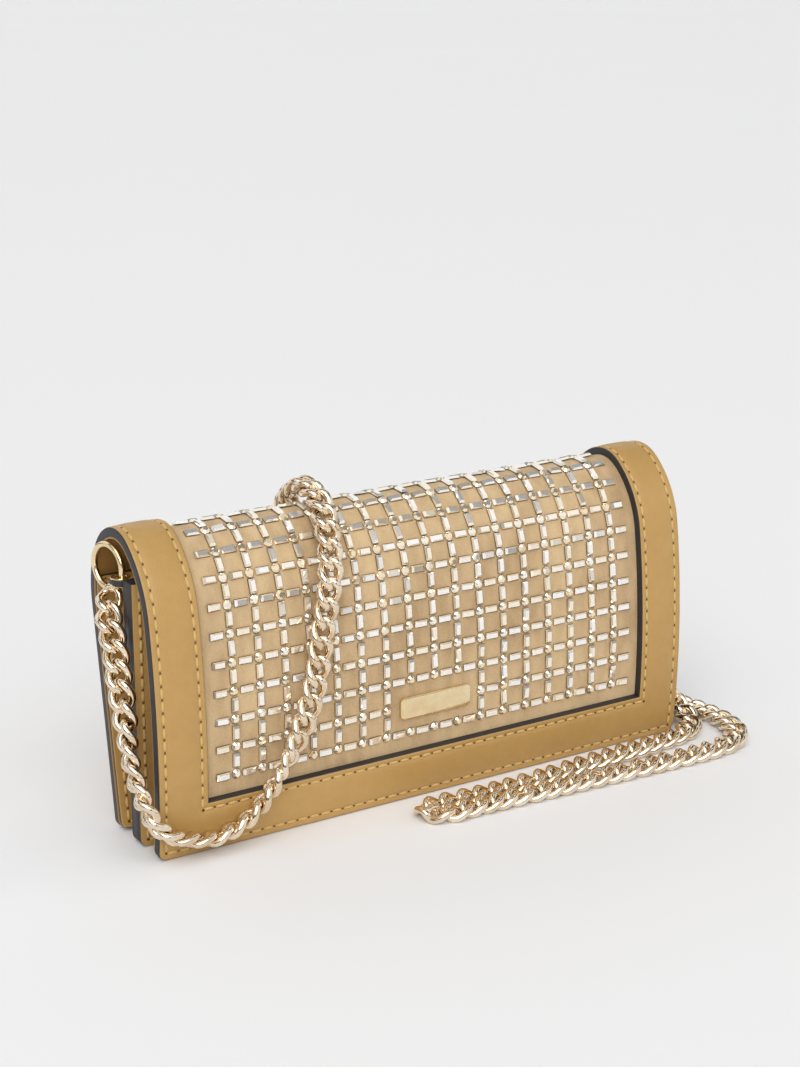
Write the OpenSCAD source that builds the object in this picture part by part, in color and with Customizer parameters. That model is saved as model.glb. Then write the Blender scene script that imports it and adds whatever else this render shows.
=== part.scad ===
/* [Wallet] */
// Width from left edge to right edge
wallet_w = 200; // [190:1:210]
// Height of the front of the flap, up to where it starts to curve over
front_h = 76; // [74:1:78]
// Radius of the first eighth turn, from the flap up to the top
top_r1 = 32.5; // [31:0.5:34]
// Radius of the second eighth turn, up to the highest line
top_r2 = 14.5; // [14:0.5:16]
// Radius of the third eighth turn, down from the highest line
top_r3 = 18; // [17.5:0.5:20]
// Radius of the last eighth turn, into the back
top_r4 = 28; // [27:0.5:30]
// Lean of the back, in degrees
back_lean = 8.7; // [8:0.1:9.4]

/* [Cover layers] */
// Thickness of the stuffed leather of the cover
leather_t = 3; // [2.6:0.1:3.4]
// Thickness of the lining behind it
lining_t = 0.55; // [0.4:0.05:0.7]
// Thickness of the velvet in the window
velvet_t = 0.3; // [0.2:0.05:0.5]
// Width of the leather bands beside the window
band_w = 16.8; // [14:0.2:20]
// Height of the leather band below the window
band_h = 16.5; // [14:0.5:20]
// How far back over the top the window runs, from the flap's lower edge
window_end = 148; // [144:1:150]

/* [Inner block] */
// Thickness of the middle block with the coin pocket
block_t = 6.2; // [5.8:0.1:6.6]
// Height of the middle block
block_h = 85; // [80:1:86]
// Thickness of each of its two panels
panel_t = 1.2; // [1:0.1:1.4]
// Thickness of one card slot layer
card_t = 0.8; // [0.6:0.1:0.9]
// Thickness of the flat pocket's panel on the back
pocket_t = 1.6; // [1.2:0.1:2]

/* [Metal] */
// Outer diameter of the two chain rings
ring_d = 15.6; // [14:0.2:15.8]
// Wire thickness of the rings
ring_wire = 1.7; // [1.4:0.1:1.8]
// Width of the chain
chain_d = 8; // [7:0.5:8]
// Width of the plain metal bar on the front
bar_w = 28; // [20:1:30]

/* [Hidden] */
$fn = 64;

tan_leather = [0.72, 0.55, 0.29];
lining_tan = [0.62, 0.45, 0.22];
velvet_tan = [0.76, 0.66, 0.48];
dark_edge = [0.22, 0.2, 0.2];
pale_gold = [0.88, 0.76, 0.55];

// The cover's outer face is a run of arcs, from the flap's lower edge over the top to the back's.
// Each zone is [length, first angle, last angle], angles measured from straight up.
front_tuck = 6.5;
eighth = 45;
zones = [[front_h, -front_tuck, back_lean],
  [arc_len(top_r1), back_lean, back_lean + eighth],
  [arc_len(top_r2), back_lean + eighth, back_lean + 2 * eighth],
  [arc_len(top_r3), back_lean + 2 * eighth, back_lean + 3 * eighth],
  [arc_len(top_r4), back_lean + 3 * eighth, back_lean + 4 * eighth],
  [1000, back_lean + 4 * eighth, back_lean + 4 * eighth]];
function arc_len(r) = r * eighth * PI / 180;
function zone_start(i) = i == 0 ? 0 : zone_start(i - 1) + zones[i - 1][0];
function zone_of(s) = len([for (i = [1:len(zones) - 1]) if (s >= zone_start(i)) i]);
function zone_turn(i) = (zones[i][2] - zones[i][1]) / zones[i][0];
function skin_angle(s) = let (i = zone_of(s)) zones[i][1] + zone_turn(i) * (s - zone_start(i));
function along(i, d) = let (a0 = zones[i][1], turn = zone_turn(i), a1 = a0 + turn * d)
  turn == 0 ? d * [sin(a0), cos(a0)]
  : [cos(a0) - cos(a1), sin(a1) - sin(a0)] / (turn * PI / 180);
function zone_corner(i) = i == 0 ? [0, 0] : zone_corner(i - 1) + along(i - 1, zones[i - 1][0]);
function bare_skin(s) = let (i = zone_of(s)) zone_corner(i) + along(i, s - zone_start(i));
// Front and rear extremes, so that the wallet is centred on Y
front_most = bare_skin(front_h * front_tuck / (front_tuck + back_lean))[0];
rear_most = bare_skin(zone_start(5) - top_r4 * back_lean * PI / 180)[0];
mid_y = (front_most + rear_most) / 2;
// A point of the outer face at length s, moved inwards by depth: [y, z]
function skin(s, depth = 0) = let (a = skin_angle(s))
  bare_skin(s) - [mid_y, 0] + depth * [cos(a), -sin(a)];
skin_end = zone_start(5) + skin(zone_start(5))[1] / cos(back_lean);

// Fold lines of the cover, each in the middle of an eighth turn
fold_1 = (zone_start(1) + zone_start(2)) / 2;
fold_2 = (zone_start(2) + zone_start(3)) / 2;
fold_3 = (zone_start(3) + zone_start(4)) / 2;
fold_4 = (zone_start(4) + zone_start(5)) / 2;
fold_gap = 0.05;
glue = 0.05;
cover_t = leather_t + glue + lining_t;
step = 2;
half_w = wallet_w / 2;
window_x = half_w - band_w;

function s_steps(s0, s1) = concat([s0],
  [for (k = [floor(s0 / step) + 1:ceil(s1 / step) - 1]) k * step], [s1]);
// A sheet that follows the outer face from s0 to s1, between two depths and two widths
module sheet(s0, s1, depth0, depth1, x0, x1) {
  run = s_steps(s0, s1);
  outer = [for (s = run) skin(s, depth0)];
  inner = [for (i = [len(run) - 1:-1:0]) skin(run[i], depth1)];
  translate([x0, 0, 0]) rotate([90, 0, 90]) linear_extrude(x1 - x0) polygon(concat(outer, inner));
}
// Stands a piece on the outer face: its Z points outwards, its Y up along the face
module on_skin(s, depth = 0) {
  p = skin(s, depth);
  translate([0, p[0], p[1]]) rotate([90 - skin_angle(s), 0, 0]) children();
}
module mirrored(side) { if (side < 0) mirror([1, 0, 0]) children(); else children(); }

// Cover: one run of leather, lining and velvet for each moving strip
module cover_leather(s0, s1) {
  color(tan_leather) difference() {
    sheet(s0, s1, 0, leather_t, -half_w, half_w);
    sheet(band_h, window_end, -1, leather_t + 1, -window_x, window_x);
  }
}
module cover_lining(s0, s1) {
  color(lining_tan) sheet(s0, s1, leather_t + glue, cover_t, -half_w, half_w);
}
velvet_gap = 0.2;
module cover_velvet(s0, s1) {
  top = leather_t - velvet_t;
  color(velvet_tan) sheet(s0, s1, top, leather_t, -window_x + velvet_gap, window_x - velvet_gap);
}
module back_leather() cover_leather(fold_4 + fold_gap, skin_end);
module back_lining() cover_lining(fold_4 + fold_gap, skin_end);
module back_velvet() cover_velvet(fold_4 + fold_gap, window_end - velvet_gap);
module spine_3_leather() cover_leather(fold_3 + fold_gap, fold_4 - fold_gap);
module spine_3_lining() cover_lining(fold_3 + fold_gap, fold_4 - fold_gap);
module spine_3_velvet() cover_velvet(fold_3 + fold_gap, fold_4 - fold_gap);
module spine_2_leather() cover_leather(fold_2 + fold_gap, fold_3 - fold_gap);
module spine_2_lining() cover_lining(fold_2 + fold_gap, fold_3 - fold_gap);
module spine_2_velvet() cover_velvet(fold_2 + fold_gap, fold_3 - fold_gap);
module spine_1_leather() cover_leather(fold_1 + fold_gap, fold_2 - fold_gap);
module spine_1_lining() cover_lining(fold_1 + fold_gap, fold_2 - fold_gap);
module spine_1_velvet() cover_velvet(fold_1 + fold_gap, fold_2 - fold_gap);
module flap_leather() cover_leather(0, fold_1 - fold_gap);
module flap_lining() cover_lining(0, fold_1 - fold_gap);
module flap_velvet() cover_velvet(band_h + velvet_gap, fold_1 - fold_gap);

// Flat pocket on the inside of the back, open at its upper edge
pocket_gap = 0.3;
pocket_depth = cover_t + pocket_gap;
pocket_top = fold_4 + 0.6;
pocket_face = pocket_depth + pocket_t;
module pocket_panel() {
  color(tan_leather) sheet(pocket_top, skin_end, pocket_depth, pocket_face, -half_w, half_w);
}

// Middle block: two panels and a rim between them, a coin pocket inside
block_y = -7.9;
block_rear = block_y + block_t;
rim_w = 7;
block_r = 3;
module block_plate(y0, t) {
  translate([0, y0 + t, 0]) rotate([90, 0, 0]) linear_extrude(t) difference() {
    translate([-half_w, 0]) square([wallet_w, block_h]);
    for (side = [-1, 1]) translate([side * half_w, 0]) difference() {
      square(2 * block_r, center = true);
      translate([-side * block_r, block_r]) circle(block_r);
    }
  }
}
module block_front() color(tan_leather) block_plate(block_y, panel_t);
module block_back() color(tan_leather) block_plate(block_rear - panel_t, panel_t);
module block_rim() {
  color(dark_edge) difference() {
    block_plate(block_y + panel_t, block_t - 2 * panel_t);
    translate([-half_w + rim_w, block_y - 1, rim_w]) cube([wallet_w - 2 * rim_w, block_t + 2, block_h]);
  }
}

// Bellows between the block and the back, inset from the sides, and the bottom between them
gusset_t = 0.8;
gusset_x = half_w - 4;
gusset_fold = 8;
gusset_h = 80;
gusset_z = 1;
module before_pocket() sheet(pocket_top, skin_end, pocket_face, 26, -half_w, half_w);
module gusset(side) {
  back_y = 20;
  middle = [gusset_x - gusset_fold, (block_rear + 7) / 2];
  ends = [[gusset_x, block_rear], [gusset_x, back_y]];
  fold = [middle - [gusset_t, 0], middle + [gusset_t, 0]];
  color(lining_tan) mirrored(side) intersection() {
    translate([0, 0, gusset_z + gusset_t]) linear_extrude(gusset_h - gusset_t - gusset_z)
      polygon([ends[0], fold[1], ends[1], ends[1] - [2 * gusset_t, 0], fold[0], ends[0] - [2 * gusset_t, 0]]);
    before_pocket();
  }
}
module gusset_left() gusset(-1);
module gusset_right() gusset(1);
module bottom_gusset() {
  color(lining_tan) intersection() {
    translate([-gusset_x, block_rear, gusset_z]) cube([2 * gusset_x, 30, gusset_t]);
    before_pocket();
  }
}

// Stepped card slots on the front of the block, three layers on each half
card_w = 90;
card_top = [74, 62, 50];
card_z = 6;
card_gap = 0.1;
module card_layer(side, k) {
  depth = block_y - k * card_t;
  x0 = side > 0 ? 1.5 : -1.5 - card_w;
  color(tan_leather) translate([x0, depth + card_gap, card_z])
    cube([card_w, card_t - card_gap, card_top[k - 1] - card_z]);
}
module card_left_1() card_layer(-1, 1);
module card_left_2() card_layer(-1, 2);
module card_left_3() card_layer(-1, 3);
module card_right_1() card_layer(1, 1);
module card_right_2() card_layer(1, 2);
module card_right_3() card_layer(1, 3);

// Magnetic snap: socket on the card slots, stud on the flap's lining
snap_s = 24;
snap_r = 6;
snap_clear = 0.4;
card_front = block_y - 3 * card_t + card_gap;
socket_t = 2.4;
module snap_socket() {
  p = skin(snap_s);
  color(pale_gold) translate([0, card_front, p[1]]) rotate([90, 0, 0]) difference() {
    cylinder(r = snap_r + 1, h = socket_t);
    translate([0, 0, socket_t - 1.2]) cylinder(r = snap_r - 2.4, h = 2);
  }
}
module snap_stud() {
  seat = cover_t + 2 * glue;
  gap = card_front - socket_t - snap_clear - skin(snap_s, seat)[0];
  color(pale_gold) on_skin(snap_s, seat) rotate([180, 0, 0]) {
    cylinder(r = snap_r, h = 1);
    translate([0, 0, 1]) cylinder(r = snap_r - 1.5, h = gap - 1);
  }
}

// Zip in the mouth of the coin pocket
zip_z = 77;
zip_half = 84;
tooth_w = 0.9;
tooth_gap = 0.7;
tooth_h = 1.6;
tape_t = 0.4;
zip_y = block_y + block_t / 2;
mouth_half = block_t / 2 - panel_t;
module zip_tapes() {
  color(lining_tan) for (side = [-1, 1]) {
    y0 = side > 0 ? tooth_gap / 2 + tooth_w : -mouth_half;
    translate([-zip_half, zip_y + y0, zip_z]) cube([2 * zip_half, mouth_half - tooth_gap / 2 - tooth_w, tape_t]);
  }
}
module zip_teeth() {
  pitch = 2.4;
  color(pale_gold) for (side = [-1, 1]) {
    y0 = side > 0 ? tooth_gap / 2 : -tooth_gap / 2 - tooth_w;
    translate([-zip_half, zip_y + y0, zip_z - 0.2]) cube([2 * zip_half, tooth_w, tooth_h / 2]);
    for (x = [-zip_half + 1 + (side + 1) * pitch / 4:pitch:zip_half - 2])
      translate([x, zip_y + y0, zip_z - 0.2]) cube([pitch / 2, tooth_w, tooth_h]);
  }
}
stop_l = 2;
module zip_stops() {
  color(pale_gold) for (x = [-zip_half - stop_l, zip_half])
    translate([x, zip_y - 1.3, zip_z - 0.4]) cube([stop_l, 2.6, 2.4]);
}
slider_l = 7;
slider_x = zip_half - slider_l / 2 - 0.5;
slider_top = zip_z + 3.2;
module zip_slider() {
  color(pale_gold) translate([slider_x, zip_y, 0]) difference() {
    union() {
      translate([-slider_l / 2, -1.7, zip_z + tooth_h + 0.1]) cube([slider_l, 3.4, 1.3]);
      translate([-slider_l / 2, -1.7, zip_z - 1.8]) cube([slider_l, 3.4, 1.3]);
      translate([-1, -0.25, zip_z - 1]) cube([2, 0.5, 3]);
      translate([-1.6, -0.9, slider_top - 0.3]) cube([3.2, 1.8, 2]);
    }
    translate([0, 0, slider_top + 0.6]) rotate([90, 0, 0]) cylinder(r = 0.55, h = 8, center = true);
  }
}
pull_l = 8.5;
module zip_pull() {
  color(pale_gold) translate([slider_x, zip_y, slider_top + 0.6]) {
    rotate([90, 0, 0]) cylinder(r = 0.5, h = 3.2, center = true);
    for (side = [-1, 1]) translate([-2.8, side * 1.35 - 0.25, -0.5]) cube([3.3, 0.5, 1]);
    translate([-pull_l, -1.6, -0.5]) cube([pull_l - 2.8, 3.2, 1]);
  }
}

// Leather tabs on the block's upper corners, each with an eyelet that holds a chain ring
tab_t = 2.2;
tab_z = 82.5;
tab_l = 7;
tab_out = half_w + 2;
tab_in = 93;
eye_x = 98.9;
eye_y = 1.9;
eye_r = 2.2;
module ring_tab(side) {
  color(tan_leather) mirrored(side) difference() {
    translate([tab_in, block_rear, tab_z]) cube([tab_out - tab_in, tab_l, tab_t]);
    translate([eye_x, eye_y, tab_z - 1]) cylinder(r = eye_r, h = tab_t + 2);
  }
}
module tab_left() ring_tab(-1);
module tab_right() ring_tab(1);

// Chain rings, hanging through the eyelets and turned a little to the side
ring_c = [100.2, 7.5, 86.8];
ring_turn = 12;
module chain_ring(side) {
  color(pale_gold) mirrored(side) translate(ring_c) rotate([0, 0, -ring_turn]) rotate([0, 90, 0])
    rotate_extrude() translate([(ring_d - ring_wire) / 2, 0]) circle(ring_wire / 2, $fn = 24);
}
module ring_left() chain_ring(-1);
module ring_right() chain_ring(1);

// Plain metal bar on the velvet
bar_s = 31.5;
bar_h = 9;
bar_t = 1.2;
module metal_bar() {
  color(pale_gold) on_skin(bar_s, leather_t - velvet_t - glue) linear_extrude(bar_t)
    offset(1) square([bar_w - 2, bar_h - 2], center = true);
}

// Chain: its route in stretches, one for each body it rides on
chain_lift = -chain_d / 2 - 0.3;
sides = 10;
route_left = [[-101.6, 4.4, 77.5], [-104.1, -0.2, 72.6], [-104.5, -3.8, 67], [-104.7, -6.3, 61.2],
  [-105, -8.4, 54.5], [-105, -10.3, 47.5], [-105, -11.5, 41], [-105, -12.8, 34.5], [-105, -15.5, 28.5],
  [-105, -19.5, 23.5], [-105, -24.5, 19.5]];
// [x, length along the outer face]
route_front = [[-101.5, 14], [-97, 10.2], [-91, 7.8], [-85, 6.5], [-79, 7], [-72, 10], [-66.5, 14.5],
  [-62, 20], [-58, 25.5], [-54.5, 31], [-51.5, 37], [-48.5, 44], [-46.5, 51], [-45, 58], [-43.5, 65],
  [-41.5, 72], [-39.6, 79], [-38.2, 84.8]];
route_top_1 = [[-36.5, 92.8], [-35.4, 98], [-34.4, 103.2]];
route_top_2 = [[-33.4, 111.2], [-33, 116]];
route_top_3 = [[-32.2, 124], [-31.6, 129], [-31, 134]];
route_drop = [[-30.5, 142], [-30.3, 146], [-30.2, 150], [-30, 160], [-30, 175], [-30, 190], [-30, 203]];
floor_z = chain_d / 2 + 0.2;
route_floor = [[-31, 19.5, 9.5], [-34, 26, 4.6], [-42, 31, floor_z], [-54, 33, floor_z], [-63, 38, floor_z],
  [-63, 47, floor_z], [-54, 52, floor_z], [-38, 52, floor_z], [-18, 48, floor_z], [4, 42, floor_z],
  [26, 37, floor_z], [48, 33, floor_z], [70, 30, floor_z], [88, 25.5, floor_z], [104, 15, floor_z],
  [112.5, 0, floor_z], [116.5, -14, floor_z], [117, -27, floor_z], [113, -38.5, floor_z],
  [104, -44.5, floor_z], [90, -45.8, floor_z], [70, -45, floor_z], [49, -44, floor_z], [26, -42.8, floor_z],
  [4, -41.5, floor_z], [-7, -41.5, floor_z], [-13.5, -38.5, floor_z], [-12, -34.5, floor_z],
  [-4, -34, floor_z], [12, -35, floor_z], [32, -34.5, floor_z], [58, -32.4, floor_z], [81, -31, floor_z],
  [98, -28.5, floor_z], [106, -22, floor_z], [108.5, -13, 5], [108, -6, 10.5], [107, -2, 20], [106, 0.5, 34],
  [105, 2.5, 50], [104.8, 2.2, 62], [103, 4.2, 71.5], [100.9, 6.8, 77.6]];
function lifted(route) = [for (p = route) let (q = skin(p[1], chain_lift)) [p[0], q[0], q[1]]];
function unit(v) = v / norm(v);
function heading(route, i) =
  unit(route[min(i + 1, len(route) - 1)] - route[max(i - 1, 0)]);
function sides_from(route, i) = i == 0 ? unit(cross(heading(route, 0), [0.3, 0.9, 0.31]))
  : let (t = heading(route, i), n = sides_from(route, i - 1)) unit(n - (n * t) * t);
module tube(route) {
  n = len(route);
  rings = [for (i = [0:n - 1]) let (t = heading(route, i), u = sides_from(route, i), v = cross(t, u))
    for (k = [0:sides - 1]) route[i] + chain_d / 2 * (u * cos(360 * k / sides) + v * sin(360 * k / sides))];
  walls = [for (i = [0:n - 2], k = [0:sides - 1]) let (j = (k + 1) % sides)
    [i * sides + k, (i + 1) * sides + k, (i + 1) * sides + j, i * sides + j]];
  start = [for (k = [0:sides - 1]) k];
  end = [for (k = [sides - 1:-1:0]) (n - 1) * sides + k];
  color(pale_gold) polyhedron(rings, concat(walls, [start, end]), convexity = 6);
}
module chain_left() tube(route_left);
module chain_front() tube(lifted(route_front));
module chain_top_1() tube(lifted(route_top_1));
module chain_top_2() tube(lifted(route_top_2));
module chain_top_3() tube(lifted(route_top_3));
module chain_back() tube(concat(lifted(route_drop), route_floor));

back_leather();
back_lining();
back_velvet();
pocket_panel();
bottom_gusset();
gusset_left();
gusset_right();
block_back();
block_front();
block_rim();
card_left_1();
card_left_2();
card_left_3();
card_right_1();
card_right_2();
card_right_3();
tab_left();
tab_right();
snap_socket();
zip_tapes();
zip_teeth();
zip_stops();
zip_slider();
zip_pull();
ring_left();
ring_right();
spine_3_leather();
spine_3_lining();
spine_3_velvet();
spine_2_leather();
spine_2_lining();
spine_2_velvet();
spine_1_leather();
spine_1_lining();
spine_1_velvet();
flap_leather();
flap_lining();
flap_velvet();
metal_bar();
snap_stud();
chain_left();
chain_front();
chain_top_1();
chain_top_2();
chain_top_3();
chain_back();
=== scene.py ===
import math

import bmesh
import bpy
import numpy as np
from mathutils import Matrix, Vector


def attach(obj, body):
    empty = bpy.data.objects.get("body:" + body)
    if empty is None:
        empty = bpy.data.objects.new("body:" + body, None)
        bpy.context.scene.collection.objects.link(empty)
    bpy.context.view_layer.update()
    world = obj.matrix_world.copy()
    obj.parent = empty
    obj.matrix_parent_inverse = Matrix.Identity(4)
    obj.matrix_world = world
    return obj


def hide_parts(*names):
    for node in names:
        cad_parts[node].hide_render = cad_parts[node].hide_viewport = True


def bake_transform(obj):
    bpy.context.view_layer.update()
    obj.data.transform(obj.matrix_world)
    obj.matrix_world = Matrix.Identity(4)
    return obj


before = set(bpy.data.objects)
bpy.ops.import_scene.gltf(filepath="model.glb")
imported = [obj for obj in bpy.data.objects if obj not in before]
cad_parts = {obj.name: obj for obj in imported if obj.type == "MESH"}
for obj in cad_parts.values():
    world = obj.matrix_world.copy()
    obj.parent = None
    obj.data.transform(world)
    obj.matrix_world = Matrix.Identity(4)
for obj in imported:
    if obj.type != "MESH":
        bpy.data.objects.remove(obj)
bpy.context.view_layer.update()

mm = 0.001               # every size below is in millimetres, every angle in degrees


# Cover outline: a run of arcs measured along the outer face, from the flap's edge over the top to the back
cover = {
    "frontHeight": 76, "frontTuck": 6.5, "backLean": 8.7, "radii": (32.5, 14.5, 18, 28),
    "halfWidth": 100, "leather": 3.0, "lining": (3.05, 3.6), "velvet": (2.7, 3.0),
    "windowX": 83.2, "windowLow": 16.5, "windowHigh": 148, "velvetGap": 0.05,
    "edgeRound": 0.7, "puff": 0.3, "corner": 3.0, "stepFlat": 2.5, "stepBend": 0.8,
}


def zoneTable():
    eighth = math.radians(45)
    lean = math.radians(cover["backLean"])
    table = [(cover["frontHeight"], -math.radians(cover["frontTuck"]), lean)]
    for k, radius in enumerate(cover["radii"]):
        table.append((radius * eighth, lean + k * eighth, lean + (k + 1) * eighth))
    table.append((1000, lean + 4 * eighth, lean + 4 * eighth))
    return table


zones = zoneTable()
zoneStarts = np.cumsum([0] + [zone[0] for zone in zones[:-1]])


def zoneOf(s):
    return max(0, int(np.searchsorted(zoneStarts, s, side="right")) - 1)


def along(i, d):
    length, first, last = zones[i]
    turn = (last - first) / length
    if turn == 0:
        return np.array([d * math.sin(first), d * math.cos(first)])
    end = first + turn * d
    return np.array([math.cos(first) - math.cos(end), math.sin(end) - math.sin(first)]) / turn


zoneCorners = [np.zeros(2)]
for zoneIndex in range(5):
    zoneCorners.append(zoneCorners[-1] + along(zoneIndex, zones[zoneIndex][0]))


def angleAt(s):
    i = zoneOf(s)
    length, first, last = zones[i]
    return first + (last - first) / length * (s - zoneStarts[i])


def bareSkin(s):
    i = zoneOf(s)
    return zoneCorners[i] + along(i, s - zoneStarts[i])


def middle():
    tuck, lean = cover["frontTuck"], cover["backLean"]
    front = bareSkin(cover["frontHeight"] * tuck / (tuck + lean))[0]
    rear = bareSkin(zoneStarts[5] - cover["radii"][3] * math.radians(lean))[0]
    return (front + rear) / 2


middleY = middle()


def skin(s, depth=0.0):                  # the outer face at length s, moved inwards: (y, z)
    a = angleAt(s)
    p = bareSkin(s)
    return np.array([p[0] - middleY + depth * math.cos(a), p[1] - depth * math.sin(a)])


def outward(s):
    a = angleAt(s)
    return np.array([0, -math.cos(a), math.sin(a)])


def uphill(s):
    a = angleAt(s)
    return np.array([0, math.sin(a), math.cos(a)])


def onSkin(x, s, depth=0.0):
    y, z = skin(s, depth)
    return np.array([x, y, z])


def roundCorner(x, s):                   # draws the outer corners of the sheet in to a quarter circle
    r = cover["corner"]
    across = abs(x) - (cover["halfWidth"] - r)
    past = max(r - s, s - (skinEnd - r))
    if across <= 0 or past <= 0:
        return x, s
    shrink = max(across, past) / math.hypot(across, past)
    shift = past * (1 - shrink)
    return math.copysign(cover["halfWidth"] - r + across * shrink, x), s + shift if s < r else s - shift


skinEnd = zoneStarts[5] + skin(zoneStarts[5])[1] / math.cos(math.radians(cover["backLean"]))

# Each strip of the cover: its name, where it starts and ends, and the bodies at its ends
strips = [
    ("flap", 0, zoneStarts[1], ("flap",)),
    ("bend_1", zoneStarts[1], zoneStarts[2], ("flap", "spine_1")),
    ("bend_2", zoneStarts[2], zoneStarts[3], ("spine_1", "spine_2")),
    ("bend_3", zoneStarts[3], zoneStarts[4], ("spine_2", "spine_3")),
    ("bend_4", zoneStarts[4], zoneStarts[5], ("spine_3", "body")),
    ("back", zoneStarts[5], skinEnd, ("body",)),
]
frameStrips = {"flap": "flap", "bend_1": "spine_1", "bend_2": "spine_2", "bend_3": "spine_3", "back": "back"}


def follow(obj, strip):                  # ties a piece of the cover to the strip's body; a piece on a bend, between two bodies, is only fixed in place
    _, first, last, bodies = strip
    if len(bodies) == 1:
        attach(obj, bodies[0])
    else:
        start, end = onSkin(0, first) * mm, onSkin(0, last) * mm
        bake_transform(obj)


# Trees of nodes, for shaders and for geometry
class Signal:                            # one output socket, usable in sums
    def __init__(self, tree, socket):
        self.tree = tree
        self.socket = socket

    def combine(self, operation, first, second):
        return self.tree.node("ShaderNodeMath", {"operation": operation}, {0: first, 1: second})

    def __add__(self, other):
        return self.combine("ADD", self, other)

    def __radd__(self, other):
        return self.combine("ADD", other, self)

    def __mul__(self, other):
        return self.combine("MULTIPLY", self, other)

    def __rmul__(self, other):
        return self.combine("MULTIPLY", other, self)


class Tree:                              # adds nodes to a node tree and links their sockets
    def __init__(self, tree):
        self.tree = tree

    def node(self, kind, settings=None, inputs=None, output=0):
        made = self.tree.nodes.new(kind)
        for key, value in (settings or {}).items():
            if key == "stops":
                self.fillRamp(made.color_ramp, value)
            else:
                setattr(made, key, value)
        for key, value in (inputs or {}).items():
            self.feed(made.inputs[key], value)
        return Signal(self, made.outputs[output])

    def feed(self, socket, value):
        if isinstance(value, Signal):
            self.tree.links.new(value.socket, socket)
        else:
            socket.default_value = value

    def fillRamp(self, ramp, stops):
        while len(ramp.elements) < len(stops):
            ramp.elements.new(1.0)
        for element, (place, colour) in zip(ramp.elements, stops):
            element.position = place
            element.color = (*colour, 1)

    def mix(self, factor, first, second):                # colours
        settings = {"data_type": "RGBA"}
        return self.node("ShaderNodeMix", settings, {0: factor, 6: first, 7: second}, output=2)

    def ramp(self, value, low, high):                    # 0 below low, 1 above high
        inputs = {"Value": value, "From Min": low, "From Max": high}
        return self.node("ShaderNodeMapRange", {"clamp": True}, inputs)


class Finish(Tree):                      # a material
    def __init__(self, name, roughness=0.5, metallic=0.0):
        self.material = bpy.data.materials.new(name)
        self.material.use_nodes = True
        super().__init__(self.material.node_tree)
        self.shader = self.tree.nodes["Principled BSDF"]
        self.place = self.node("ShaderNodeTexCoord", output="Object")
        self.set("Roughness", roughness)
        self.set("Metallic", metallic)

    def set(self, name, value):
        self.feed(self.shader.inputs[name], value)

    def noise(self, scale, detail=3.0, stretch=None):
        place = self.place
        if stretch:
            place = self.node("ShaderNodeMapping", inputs={"Vector": place, "Scale": stretch})
        return self.node("ShaderNodeTexNoise", inputs={"Vector": place, "Scale": scale, "Detail": detail})

    def bump(self, height, distance, strength=1.0):
        inputs = {"Height": height, "Distance": distance, "Strength": strength}
        self.set("Normal", self.node("ShaderNodeBump", inputs=inputs))


leatherLook = {
    "tan": (0.53, 0.325, 0.105), "deep": (0.44, 0.25, 0.07), "grain": 1500, "pores": 520,
    "bumpHeight": 0.00005, "roughness": (0.36, 0.5),
}


def leatherFinish(name, light, dark):
    look = leatherLook
    finish = Finish(name)
    cloud = finish.noise(26, 4)
    mottle = finish.noise(240, 3)
    amount = finish.ramp(cloud * 0.6 + mottle * 0.4, 0.2, 0.9)
    finish.set("Base Color", finish.mix(amount, (*light, 1), (*dark, 1)))
    low, high = look["roughness"]
    finish.set("Roughness", low + (high - low) * finish.ramp(mottle, 0.3, 0.7))
    cells = finish.node("ShaderNodeTexVoronoi", {"feature": "DISTANCE_TO_EDGE"},
                        {"Vector": finish.place, "Scale": look["grain"]})
    pores = finish.noise(look["pores"], 2)
    finish.bump(finish.ramp(cells, 0.0, 0.22) * 0.6 + pores * 0.7, look["bumpHeight"])
    return finish.material


def edgePaintFinish():
    finish = Finish("edge_paint")
    flow = finish.noise(90, 2)
    finish.set("Base Color", finish.mix(flow, (0.017, 0.016, 0.018, 1), (0.033, 0.031, 0.032, 1)))
    finish.set("Roughness", 0.42 + 0.18 * flow)
    finish.bump(finish.noise(420, 2), 0.0001, 0.6)
    return finish.material


velvetLook = {"light": (0.66, 0.475, 0.265), "dark": (0.43, 0.285, 0.145), "sheen": 0.25, "pile": 2600}


def velvetFinish():
    finish = Finish("velvet", roughness=0.9)
    brushed = finish.noise(34, 3, stretch=(1.0, 1.0, 0.7))
    streak = finish.noise(150, 3, stretch=(1.6, 1, 0.5))
    pile = finish.noise(velvetLook["pile"], 2)
    nap = finish.ramp(brushed * 0.5 + streak * 0.3 + pile * 0.2, 0.37, 0.6)
    finish.set("Base Color", finish.mix(nap, (*velvetLook["dark"], 1), (*velvetLook["light"], 1)))
    finish.set("Sheen Weight", velvetLook["sheen"])
    finish.set("Sheen Roughness", 0.4)
    finish.set("Sheen Tint", (1.0, 0.93, 0.8, 1))
    finish.bump(pile + brushed * 0.8, 0.00012, 0.7)
    return finish.material


def threadFinish():
    finish = Finish("thread", roughness=0.55)
    fibre = finish.noise(2400, 2)
    finish.set("Base Color", finish.mix(fibre, (0.72, 0.49, 0.19, 1), (0.54, 0.34, 0.11, 1)))
    finish.bump(fibre, 0.00006, 0.8)
    return finish.material


def holeShadeFinish():
    # dark brown: painted shade inside each needle hole
    finish = Finish("needle_hole", roughness=0.8)
    speckle = finish.noise(900, 1)
    finish.set("Base Color", finish.mix(speckle, (0.12, 0.068, 0.022, 1), (0.17, 0.1, 0.035, 1)))
    return finish.material


def metalFinish(name, light, dark, roughness, wear=160):
    finish = Finish(name, metallic=1.0)
    tarnish = finish.noise(wear, 3)
    finish.set("Base Color", finish.mix(finish.ramp(tarnish, 0.35, 0.7), (*light, 1), (*dark, 1)))
    finish.set("Roughness", roughness + 0.06 * finish.noise(wear * 3, 2))
    return finish.material


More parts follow.
